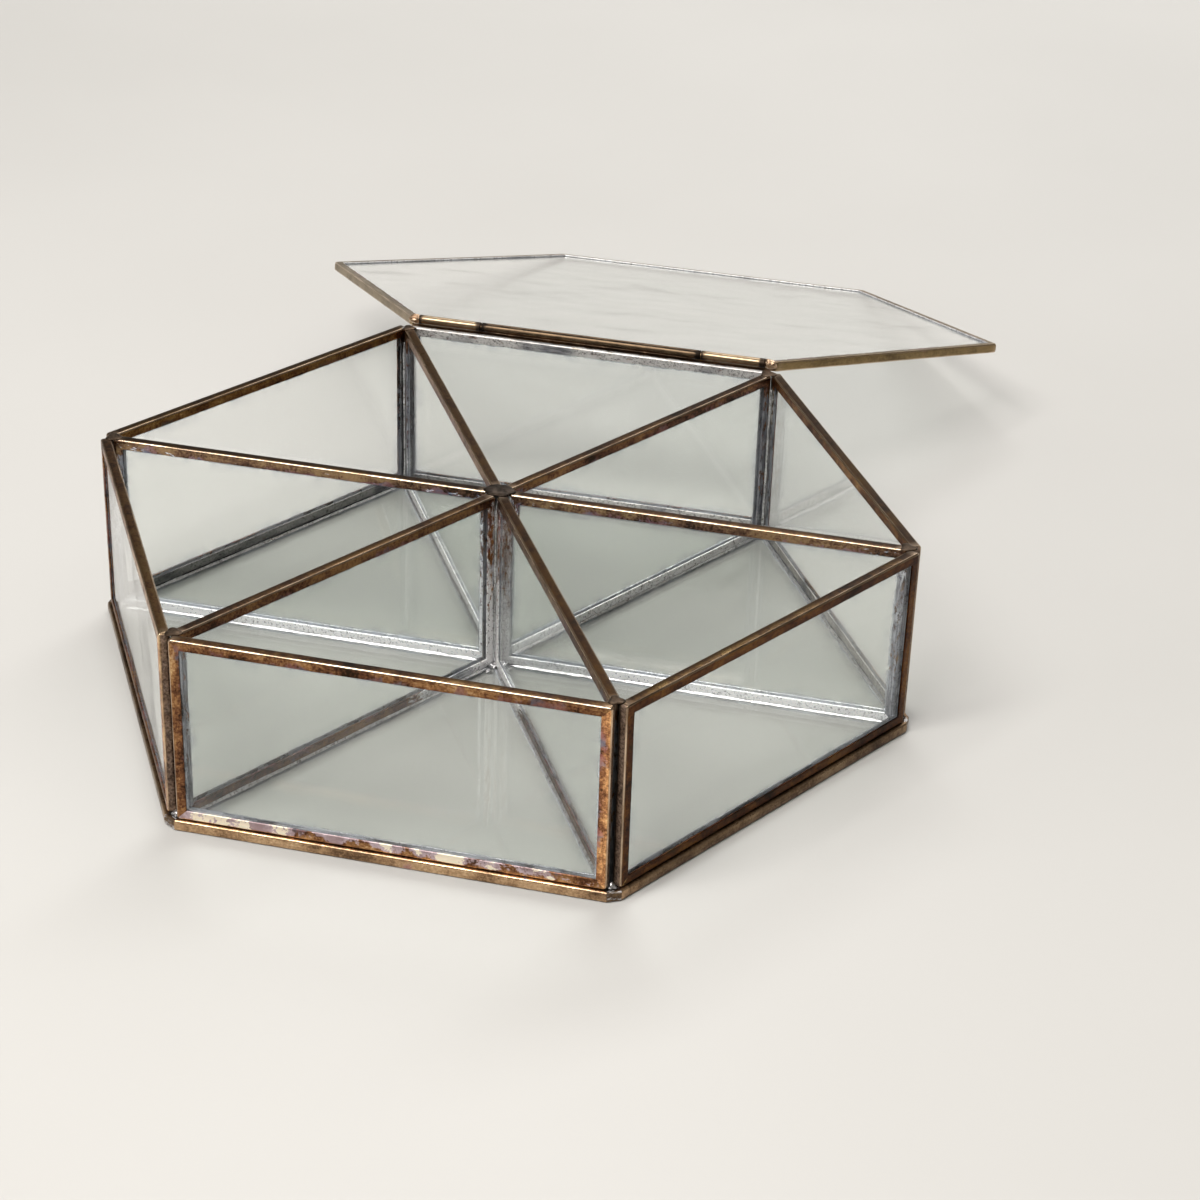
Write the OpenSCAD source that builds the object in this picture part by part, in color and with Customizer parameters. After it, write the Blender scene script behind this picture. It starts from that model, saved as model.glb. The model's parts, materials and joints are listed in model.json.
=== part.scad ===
// Hexagonal glass keepsake box: six framed glass walls, six framed glass dividers that
// meet at a hub, a glass floor and a hinged glass lid, all edged in folded brass channel.
// The origin is the centre of the underside of the base and +Z is up. The corners of the
// hexagon lie on the X axis, and the hinge runs along the back, at +Y.
// The lid is drawn folded right back, with its far edge on the surface the box stands on.

/* [Overall] */
// Width of the base across opposite flats
base_flats_w = 214.8; // [150:0.2:320]
// Height from the underside of the base to the rim
box_h = 58.8; // [36:0.2:120]
// How far the base stands out beyond the walls
base_ledge = 1; // [0.4:0.1:3]

/* [Glass] */
// Thickness of every pane
glass_t = 2; // [1.5:0.1:4]
// Clearance between a pane and the channel round it, on each side
glass_play = 0.1; // [0.05:0.05:0.3]

/* [Channel] */
// Depth of the channel legs that cover the edge of a pane
leg_h = 3; // [2.2:0.1:6]
// Thickness of the sheet the channel is folded from
sheet_t = 0.5; // [0.4:0.05:1.2]
// Radius of the folded edges of the channel
fold_r = 0.7; // [0.3:0.05:1.1]
// Length taken off each wall, so that the ends of neighbouring walls stay clear
wall_trim = 0.5; // [0.1:0.05:1]
// Clearance between the dividers, and between a divider and the walls
divider_gap = 0.15; // [0.05:0.05:0.4]
// Length cut off the tips of the six corners of the base
base_corner_trim = 1.2; // [0.3:0.1:2.5]

/* [Lid] */
// Length cut off the tips of the six corners of the lid
lid_corner_trim = 0.3; // [0.2:0.1:2]
// How far the front edge of the closed lid lies inside the outer face of the front wall
lid_setback = 1.6; // [0:0.1:4]
// Gap between the closed lid and the rim
lid_gap = 0.6; // [0.4:0.05:2]

/* [Hinge] */
// Outer diameter of the hinge tube
tube_d = 3; // [2.2:0.1:5]
// Diameter of the hinge pin
pin_d = 1.5; // [1:0.1:2]
// Radial clearance between the pin and the tube
pin_play = 0.05; // [0.02:0.01:0.1]
// How far each end of the hinge stays from the end of the back wall
hinge_inset = 2.3; // [0:0.1:20]
// Length of each outer knuckle, which is soldered to the lid
lid_knuckle_l = 20.6; // [8:0.2:30]
// Gap between neighbouring knuckles
knuckle_gap = 0.3; // [0.2:0.05:1]
// How far the pin axis lies behind the outer face of the back wall
hinge_out = 1; // [0.8:0.1:3]
// How far the pin axis lies above the rim
hinge_up = 1.2; // [0.8:0.1:3]
// Gap between the hinge tube and the edge of the lid
lid_to_tube = 0.3; // [0.2:0.05:1]

/* [Solder] */
// Width of the hub cap across flats
hub_w = 9; // [8.5:0.1:16]
// Thickness of the hub cap
hub_t = 0.8; // [0.5:0.1:1.5]
// Diameter of the solder bumps on the rim
bump_d = 5.6; // [4:0.1:8]
// Height of the solder bumps on the rim
bump_h = 0.3; // [0.1:0.05:0.3]
// Radius of the solder fillets in the outside grooves of the corners
fillet_r = 2.6; // [1.5:0.1:3]
// Height of the solder fillets in the outside grooves of the corners
fillet_h = 2.4; // [1:0.1:6]
// Clearance between the solder in the grooves and the walls beside it
solder_gap = 0.05; // [0.05:0.05:0.2]
// Length of the solder lumps at the two ends of the hinge
lump_l = 3.6; // [1.5:0.1:5]

/* [Hidden] */

// Directions of the wall faces and of the corners, in degrees from +X
front = 270;
front_right = 330;
back_right = 30;
back = 90;
back_left = 150;
front_left = 210;
corner_right = 0;
corner_back_right = 60;
corner_back_left = 120;
corner_left = 180;
corner_front_left = 240;
corner_front_right = 300;

// Half the angle that one side of a hexagon takes up at the centre
half_side_angle = 30;
// Facets of round shapes, and how far a cut runs past the face it goes through
smooth = 48;
through = 2;

// Width of the channel, measured across the pane, and height of the floor's upper face
channel_w = glass_t + 2 * (glass_play + sheet_t);
floor_z = (channel_w + glass_t) / 2;

// Distance of the tips of the base's corners from its centre
base_tip = base_flats_w / 2 / cos(half_side_angle) - base_corner_trim;

// Walls: distance of their faces from the centre, and their length between corners
wall_outer = base_flats_w / 2 - base_ledge;
wall_inner = wall_outer - channel_w;
wall_l = 2 * wall_inner * tan(half_side_angle) - wall_trim;
wall_h = box_h - channel_w;

// Dividers: from just clear of each other at the hub to just clear of the walls
divider_start = channel_w / 2 / tan(half_side_angle) + divider_gap;
inner_corner = wall_inner / cos(half_side_angle);
divider_end = inner_corner - channel_w / 2 * tan(half_side_angle) - divider_gap;
divider_l = divider_end - divider_start;
divider_h = box_h - floor_z;

// The end faces of two neighbouring walls, carried inwards, meet at wall_l from the centre
groove_start = wall_l + solder_gap / sin(half_side_angle);

// Hinge and lid, with the lid's own sizes given for the closed lid
hinge_y = wall_outer + hinge_out;
hinge_z = box_h + hinge_up;
tube_r = tube_d / 2;
bore_r = pin_d / 2 + pin_play;
hinge_l = wall_l - 2 * hinge_inset;
box_knuckle_l = hinge_l - 2 * (lid_knuckle_l + knuckle_gap);
lid_edge = -tube_r - lid_to_tube;
lid_flats_w = hinge_y + lid_edge + wall_outer - lid_setback;
lid_low = lid_gap - hinge_up;
lid_high = lid_low + channel_w;
lid_tip = lid_flats_w / 2 / cos(half_side_angle) - lid_corner_trim;

// The lid leans back until the rounded lower edge of its far side meets the surface
lid_reach = lid_flats_w - lid_edge - fold_r;
lid_rise = lid_high - fold_r;
lean = asin((hinge_z - fold_r) / norm([lid_reach, lid_rise])) - atan(lid_rise / lid_reach);
lid_open = 180 + lean;

// A strip's cross-section with rounded corners
module rounded_strip(w, h, r) {
    square([w - 2 * r, h], center = true);
    square([w, h - 2 * r], center = true);
    for (x = [-1, 1], y = [-1, 1]) {
        translate([x * (w / 2 - r), y * (h / 2 - r)]) {
            circle(r = r, $fn = smooth);
        }
    }
}

// A long slab along X, w wide in Y and h high in Z, with its four long edges rounded
module slab(length, w, h, r) {
    rotate([90, 0, 90]) {
        linear_extrude(height = length, center = true) {
            rounded_strip(w, h, r);
        }
    }
}

// A hexagonal plate centred on the origin, with rounded edges and flats that face +Y and -Y
module hexagon_plate(flats_w, h, r) {
    corners_w = flats_w / cos(half_side_angle);
    intersection() {
        slab(corners_w + through, flats_w, h, r);
        rotate([0, 0, 60]) {
            slab(corners_w + through, flats_w, h, r);
        }
        rotate([0, 0, 120]) {
            slab(corners_w + through, flats_w, h, r);
        }
    }
}

module hexagon_prism(flats_w, h) {
    cylinder(d = flats_w / cos(half_side_angle), h = h, center = true, $fn = 6);
}

// Cuts the corners of a plate back to the given distance from its centre
module cut_back(reach) {
    intersection() {
        children();
        cylinder(r = reach, h = channel_w + through, center = true, $fn = 180);
    }
}

// Channel folded round a hexagonal pane: a rounded plate less its window and its slot
module plate_channel(flats_w, reach) {
    difference() {
        cut_back(reach) {
            hexagon_plate(flats_w, channel_w, fold_r);
        }
        hexagon_prism(flats_w - 2 * leg_h, channel_w + through);
        cut_back(reach - sheet_t) {
            hexagon_prism(flats_w - 2 * sheet_t, channel_w - 2 * sheet_t);
        }
    }
}

module plate_glass(flats_w, reach) {
    inset = sheet_t + glass_play;
    cut_back(reach - inset) {
        hexagon_prism(flats_w - 2 * inset, glass_t);
    }
}

// Channel folded round a rectangular pane, which stands along X with its centre at the origin
module panel_frame(length, height) {
    difference() {
        intersection() {
            slab(length, channel_w, height, fold_r);
            rotate([0, 90, 0]) {
                slab(height, channel_w, length, fold_r);
            }
        }
        cube([length - 2 * leg_h, channel_w + through, height - 2 * leg_h], center = true);
        cube([length - 2 * sheet_t, channel_w - 2 * sheet_t, height - 2 * sheet_t],
            center = true);
    }
}

module panel_glass(length, height) {
    inset = sheet_t + glass_play;
    cube([length - 2 * inset, glass_t, height - 2 * inset], center = true);
}

// Stands a panel as a wall that faces the given direction
module as_wall(direction) {
    rotate([0, 0, direction - back]) {
        translate([0, wall_outer - channel_w / 2, channel_w + wall_h / 2]) {
            children();
        }
    }
}

// Stands a panel as a divider that runs from the hub to the given corner
module as_divider(direction) {
    rotate([0, 0, direction]) {
        translate([divider_start + divider_l / 2, 0, floor_z + divider_h / 2]) {
            children();
        }
    }
}

// Swings what is drawn round the pin axis, closed, to the open lid's place
module as_open_lid() {
    translate([0, hinge_y, hinge_z]) {
        rotate([-lid_open, 0, 0]) {
            children();
        }
    }
}

module wall_frame(direction) {
    color("#8a6a45") {
        as_wall(direction) {
            panel_frame(wall_l, wall_h);
        }
    }
}

module wall_glass(direction) {
    color("#cfd8d0", 0.35) {
        as_wall(direction) {
            panel_glass(wall_l, wall_h);
        }
    }
}

module divider_frame(direction) {
    color("#5d4a36") {
        as_divider(direction) {
            panel_frame(divider_l, divider_h);
        }
    }
}

module divider_glass(direction) {
    color("#cfd8d0", 0.35) {
        as_divider(direction) {
            panel_glass(divider_l, divider_h);
        }
    }
}

module base_channel() {
    color("#8a7052") {
        translate([0, 0, channel_w / 2]) {
            plate_channel(base_flats_w, base_tip);
        }
    }
}

module base_glass() {
    color("#cfd8d0", 0.35) {
        translate([0, 0, channel_w / 2]) {
            plate_glass(base_flats_w, base_tip);
        }
    }
}

// Hexagonal cap soldered over the ends of the six dividers, with a bevelled top edge
module hub_cap() {
    hub_r = hub_w / 2 / cos(half_side_angle);
    color("#4a4238") {
        translate([0, 0, box_h]) {
            intersection() {
                cylinder(r1 = hub_r + hub_t, r2 = hub_r - hub_t, h = hub_t, $fn = smooth);
                translate([0, 0, hub_t / 2]) {
                    hexagon_prism(hub_w, hub_t + through);
                }
            }
        }
    }
}

// Low bumps of solder over the six places where a divider meets two walls
module rim_solder() {
    color("#8f8d88") {
        for (corner = [0:60:300]) {
            rotate([0, 0, corner]) {
                translate([divider_end, 0, box_h]) {
                    cylinder(d1 = bump_d, d2 = bump_d / 2, h = bump_h, $fn = smooth);
                }
            }
        }
    }
}

// Solder at the foot of the six V-shaped grooves between neighbouring walls
module groove_solder() {
    color("#8f8d88") {
        for (corner = [0:60:300]) {
            rotate([0, 0, corner]) {
                translate([groove_start, 0, channel_w]) {
                    intersection() {
                        cylinder(r = fillet_r, h = fillet_h, $fn = smooth);
                        linear_extrude(height = fillet_h) {
                            polygon([
                                [0, 0],
                                [2 * fillet_r, -2 * fillet_r * tan(half_side_angle)],
                                [2 * fillet_r, 2 * fillet_r * tan(half_side_angle)]
                            ]);
                        }
                    }
                }
            }
        }
    }
}

// One length of hinge tube round the pin axis, centred at the given place along it
module knuckle(length, place) {
    translate([place, 0, 0]) {
        rotate([0, 90, 0]) {
            cylinder(r = tube_r, h = length, center = true, $fn = smooth);
        }
    }
}

module pin_hole() {
    rotate([0, 90, 0]) {
        cylinder(r = bore_r, h = hinge_l + through, center = true, $fn = smooth);
    }
}

// Middle knuckle, with the bead of solder that joins it to the top of the back wall
module box_knuckle() {
    color("#3f372e") {
        translate([0, hinge_y, hinge_z]) {
            difference() {
                union() {
                    knuckle(box_knuckle_l, 0);
                    translate([-box_knuckle_l / 2, -hinge_out - channel_w / 2, -hinge_up]) {
                        cube([box_knuckle_l, hinge_out + channel_w / 2, lid_gap / 2]);
                    }
                }
                pin_hole();
            }
        }
    }
}

// Bead of solder between the edge of the lid and what turns with it round the pin axis
module lid_bead(length, place) {
    translate([place - length / 2, lid_edge, 0]) {
        cube([length, -lid_edge, channel_w / 2]);
    }
}

// Outer knuckle, with the bead of solder that joins it to the edge of the lid
module lid_knuckle(side) {
    place = side * (hinge_l - lid_knuckle_l) / 2;
    color("#b58f5c") {
        as_open_lid() {
            difference() {
                union() {
                    knuckle(lid_knuckle_l, place);
                    lid_bead(lid_knuckle_l, place);
                }
                pin_hole();
            }
        }
    }
}

module lid_knuckle_left() {
    lid_knuckle(-1);
}

module lid_knuckle_right() {
    lid_knuckle(1);
}

module hinge_pin() {
    color("#6e5c45") {
        as_open_lid() {
            rotate([0, 90, 0]) {
                cylinder(d = pin_d, h = hinge_l, center = true, $fn = smooth);
            }
        }
    }
}

module lid_channel() {
    color("#5b4a30") {
        as_open_lid() {
            translate([0, lid_edge - lid_flats_w / 2, (lid_low + lid_high) / 2]) {
                plate_channel(lid_flats_w, lid_tip);
            }
        }
    }
}

module lid_glass() {
    color("#cfd8d0", 0.35) {
        as_open_lid() {
            translate([0, lid_edge - lid_flats_w / 2, (lid_low + lid_high) / 2]) {
                plate_glass(lid_flats_w, lid_tip);
            }
        }
    }
}

// Lumps of solder on the lid that close the two ends of the hinge, with tapered ends
module hinge_end_solder() {
    bead_l = lump_l / 2;
    color("#a9835a") {
        as_open_lid() {
            for (side = [-1, 1]) {
                translate([side * hinge_l / 2, 0, 0]) {
                    rotate([0, side * 90, 0]) {
                        cylinder(r = tube_r, h = bead_l, $fn = smooth);
                        translate([0, 0, bead_l]) {
                            cylinder(r1 = tube_r, r2 = tube_r / 2, h = lump_l - bead_l, $fn = smooth);
                        }
                    }
                }
                lid_bead(bead_l, side * (hinge_l + bead_l) / 2);
            }
        }
    }
}

base_channel();
base_glass();
wall_frame(front);  // front_wall_frame
wall_glass(front);  // front_wall_glass
wall_frame(front_right);  // front_right_wall_frame
wall_glass(front_right);  // front_right_wall_glass
wall_frame(back_right);  // back_right_wall_frame
wall_glass(back_right);  // back_right_wall_glass
wall_frame(back);  // back_wall_frame
wall_glass(back);  // back_wall_glass
wall_frame(back_left);  // back_left_wall_frame
wall_glass(back_left);  // back_left_wall_glass
wall_frame(front_left);  // front_left_wall_frame
wall_glass(front_left);  // front_left_wall_glass
divider_frame(corner_right);  // right_divider_frame
divider_glass(corner_right);  // right_divider_glass
divider_frame(corner_back_right);  // back_right_divider_frame
divider_glass(corner_back_right);  // back_right_divider_glass
divider_frame(corner_back_left);  // back_left_divider_frame
divider_glass(corner_back_left);  // back_left_divider_glass
divider_frame(corner_left);  // left_divider_frame
divider_glass(corner_left);  // left_divider_glass
divider_frame(corner_front_left);  // front_left_divider_frame
divider_glass(corner_front_left);  // front_left_divider_glass
divider_frame(corner_front_right);  // front_right_divider_frame
divider_glass(corner_front_right);  // front_right_divider_glass
hub_cap();
rim_solder();
groove_solder();
box_knuckle();
lid_knuckle_left();
lid_knuckle_right();
hinge_pin();
lid_channel();
lid_glass();
hinge_end_solder();
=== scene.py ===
"""Looks of a hexagonal glass keepsake box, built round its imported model.

Every channel becomes a finely folded strip with wavering edges, the solder becomes lumpy
beads and caps, and the panes keep their solids and get glass. All sizes are in metres, in
the model's own frame: the origin is the centre of the underside, +Z is up, +Y is the back.
"""

import itertools
import json
import math
from collections import namedtuple
from math import cos, exp, hypot, pi, radians, sin, tan, tau

import bmesh
import bpy
from mathutils import Matrix, Vector, noise


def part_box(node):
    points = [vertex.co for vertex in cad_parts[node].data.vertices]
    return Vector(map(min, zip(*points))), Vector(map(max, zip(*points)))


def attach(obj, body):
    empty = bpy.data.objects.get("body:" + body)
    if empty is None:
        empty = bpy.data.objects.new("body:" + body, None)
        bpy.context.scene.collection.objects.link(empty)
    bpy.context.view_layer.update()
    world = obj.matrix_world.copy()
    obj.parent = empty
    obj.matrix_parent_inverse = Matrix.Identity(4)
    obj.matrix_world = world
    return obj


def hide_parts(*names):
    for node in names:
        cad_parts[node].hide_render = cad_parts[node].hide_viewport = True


MM = 0.001
SIXTH = radians(60)
HALF_SIXTH = SIXTH / 2
UP = Vector((0, 0, 1))

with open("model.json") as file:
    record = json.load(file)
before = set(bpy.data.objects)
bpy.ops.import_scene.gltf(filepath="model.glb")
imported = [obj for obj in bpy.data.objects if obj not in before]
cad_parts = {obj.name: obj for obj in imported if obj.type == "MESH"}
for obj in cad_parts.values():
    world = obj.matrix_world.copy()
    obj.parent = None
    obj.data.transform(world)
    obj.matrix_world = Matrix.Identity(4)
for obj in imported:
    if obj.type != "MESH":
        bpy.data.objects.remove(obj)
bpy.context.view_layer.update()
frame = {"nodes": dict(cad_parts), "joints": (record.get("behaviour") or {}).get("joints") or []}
scene = bpy.context.scene

# --- sizes, from the frame

# Sizes of the folded sheet that the frame's boxes don't tell
SHEET = 0.5 * MM
LEG = 3 * MM
FOLD_R = 0.7 * MM
LIP_R = 0.16 * MM
INNER_BEVEL = 0.07 * MM
# How much higher the middle of a folded edge stands than its two sides
CROWN = 0.05 * MM
# Rounding of a strip where it is folded round a corner, seen square on
PANEL_CORNER_R = 0.95 * MM
BASE_CORNER_R = 0.5 * MM
LEAST_CORNER_R = 0.22 * MM

base_low, base_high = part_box("base_channel")
BASE_FLATS = base_high.y - base_low.y
BASE_TIP = base_high.x
CHANNEL_W = base_high.z - base_low.z

wall_low, wall_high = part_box("back_wall_frame")
WALL_OUT = wall_high.y
WALL_L = wall_high.x - wall_low.x
WALL_Z0, RIM_Z = wall_low.z, wall_high.z
WALL_IN = WALL_OUT - CHANNEL_W

divider_low, divider_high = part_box("right_divider_frame")
HUB_R, DIVIDER_END = divider_low.x, divider_high.x
FLOOR_Z = divider_low.z

_, HINGE_Y, HINGE_Z = frame["joints"][0]["pos_m"]
tube_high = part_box("box_knuckle")[1]
pin_low, pin_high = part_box("hinge_pin")
TUBE_R = tube_high.z - HINGE_Z
PIN_R = (pin_high.z - pin_low.z) / 2
HINGE_HALF = pin_high.x
MIDDLE_HALF = tube_high.x

# The lid in its closed place, measured from the pin's axis
lid_low, lid_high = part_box("lid_channel")
LID_TRIM = 0.3 * MM
KNUCKLE_GAP = 0.3 * MM
LID_GAP = 0.6 * MM
LID_FLATS = (lid_high.x - lid_low.x + 2 * LID_TRIM) * cos(HALF_SIXTH)
LID_EDGE = -(TUBE_R + KNUCKLE_GAP)
LID_BOTTOM = LID_GAP - (HINGE_Z - RIM_Z)
lid_reach = LID_FLATS - LID_EDGE - FOLD_R
lid_rise = LID_BOTTOM + CHANNEL_W - FOLD_R
# Laid back, the lid leans until its far edge meets the ground
LEAN = (math.asin((HINGE_Z - FOLD_R) / hypot(lid_reach, lid_rise))
        - math.atan(lid_rise / lid_reach))
LID_TURN = -pi - LEAN
AXIS_PLACE = Matrix.Translation((0, HINGE_Y, HINGE_Z))
LID_PLACE = AXIS_PLACE @ Matrix.Rotation(LID_TURN, 4, "X")
LID_MIDDLE = Vector((0, LID_EDGE - LID_FLATS / 2, LID_BOTTOM + CHANNEL_W / 2))

WALLS = {"back_right": 30, "back": 90, "back_left": 150,
         "front_left": 210, "front": 270, "front_right": 330}
DIVIDERS = {"right": 0, "back_right": 60, "back_left": 120,
            "left": 180, "front_left": 240, "front_right": 300}


def direction(degrees):
    a = radians(degrees)
    return Vector((cos(a), sin(a), 0))


def smooth(low, high, x):
    t = min(max((x - low) / (high - low), 0.0), 1.0)
    return t * t * (3 - 2 * t)


def fade(low, high, x):
    return 1 - smooth(low, high, x)


def waver(s, seed, wave):
    """Slow unevenness from -1 to 1 along a length s, with the given wavelength."""
    return noise.noise(Vector((s / wave, seed * 7.31, seed * 1.93)))


# --- materials


class Shading:
    """Builds the nodes of one material or world, with short calls for those it needs."""

    def __init__(self, owner):
        self.owner = bpy.data.materials.new(owner) if isinstance(owner, str) else owner
        self.owner.use_nodes = True
        self.tree = self.owner.node_tree
        self.tree.nodes.clear()
        self.coordinates = self.node("TexCoord")
        self.place = self.coordinates.outputs["Object"]

    def node(self, kind, sockets=None, **settings):
        """Adds a node, changes its settings and feeds its sockets with values or links."""
        made = self.tree.nodes.new(f"ShaderNode{kind}")
        for key, value in settings.items():
            setattr(made, key, value)
        for key, value in (sockets or {}).items():
            if isinstance(value, bpy.types.NodeSocket):
                self.tree.links.new(value, made.inputs[key])
            elif value is not None:
                made.inputs[key].default_value = value
        return made

    def mask(self, name, output="Fac"):
        return self.node("Attribute", attribute_name=name).outputs[output]

    def noise(self, vector, scale, detail, rough, bend=0.0, stretch=None, move=None):
        if stretch or move:
            vector = self.node("Mapping", {
                "Vector": vector, "Scale": stretch or (1, 1, 1), "Location": move or (0, 0, 0),
            }).outputs["Vector"]
        return self.node("TexNoise", {
            "Vector": vector, "Scale": scale, "Detail": detail, "Roughness": rough,
            "Distortion": bend,
        }).outputs["Fac"]

    def calc(self, operation, a, b=0.5, clamp=False):
        return self.node("Math", {0: a, 1: b}, operation=operation,
                         use_clamp=clamp).outputs[0]

    def plus(self, a, *more, clamp=False):
        for b in more:
            a = self.calc("ADD", a, b, clamp)
        return a

    def minus(self, a, *more, clamp=False):
        for b in more:
            a = self.calc("SUBTRACT", a, b, clamp)
        return a

    def times(self, a, b):
        return self.calc("MULTIPLY", a, b)

    def swing(self, value, amount):
        """A noise round 0.5 made to swing round zero, by the given amount."""
        return self.times(self.minus(value, 0.5), amount)

    def span(self, value, low, high, to_low=0.0, to_high=1.0):
        """Maps low..high to to_low..to_high, smoothly and clamped."""
        return self.node("MapRange", {
            "Value": value, "From Min": low, "From Max": high, "To Min": to_low,
            "To Max": to_high,
        }, interpolation_type="SMOOTHSTEP").outputs["Result"]

    def ramp(self, value, stops):
        made = self.node("ValToRGB", {"Fac": value})
        elements = made.color_ramp.elements
        while len(elements) < len(stops):
            elements.new(0.5)
        for element, (at, colour) in zip(elements, stops):
            element.position = at
            element.color = (*colour, 1)
        return made.outputs["Color"]

    def blend(self, share, a, b, kind="MIX"):
        """Mixes two colours, each a socket or a tuple."""
        a, b = ((*c, 1) if isinstance(c, tuple) else c for c in (a, b))
        return self.node("Mix", {0: share, 6: a, 7: b}, data_type="RGBA",
                         blend_type=kind).outputs[2]

    def between(self, share, a, b):
        """Mixes two numbers."""
        return self.node("Mix", {0: share, 2: a, 3: b}, data_type="FLOAT").outputs[0]

    def relief(self, *layers):
        """Bumps laid over one another, each with its height, distance and strength."""
        normal = None
        for height, distance, strength in layers:
            normal = self.node("Bump", {
                "Height": height, "Normal": normal, "Distance": distance, "Strength": strength,
            }).outputs["Normal"]
        return normal

    def principled(self, colour, rough, normal, metal=0.0, extra=None):
        return self.node("BsdfPrincipled", {
            "Base Color": colour, "Roughness": rough, "Normal": normal, "Metallic": metal,
            **(extra or {}),
        }).outputs["BSDF"]

    def finish(self, surface):
        self.node("OutputMaterial", {"Surface": surface})
        return self.owner


UMBER = (0.028, 0.015, 0.008)
COPPER = (0.15, 0.063, 0.03)
GOLDEN = (0.33, 0.17, 0.07)
PALE_GOLD = (0.62, 0.41, 0.21)
OLIVE = (0.13, 0.088, 0.038)
# Heat tints
PLUM = (0.15, 0.056, 0.054)
RUSSET = (0.235, 0.11, 0.1)
SLATE = (0.1, 0.11, 0.145)
# Flux stains
DULL_MAUVE, MAUVE = (0.33, 0.235, 0.245), (0.52, 0.415, 0.45)
CREAM = (0.86, 0.765, 0.61)
# Tin, from its pits to its brightest, and the blue-grey tin of the stiles
PITTED, SILVER, MIRROR = (0.2, 0.19, 0.19), (0.86, 0.85, 0.855), (0.95, 0.945, 0.945)
NIGHT, STEEL = (0.085, 0.092, 0.12), (0.4, 0.42, 0.47)
# Rubbed folds of brass and of tin, also serving as a painted highlight on the folded edges
WORN_AND_HIGHLIT, WORN_TIN_AND_HIGHLIT = (0.82, 0.63, 0.455), (0.92, 0.885, 0.86)
# What gathers in grooves, and a near black painted shade for deep crevices
GRIME, DUST = (0.075, 0.048, 0.034), (0.3, 0.205, 0.15)
DEEP_SHADE_BLACK = (0.012, 0.009, 0.008)


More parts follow.
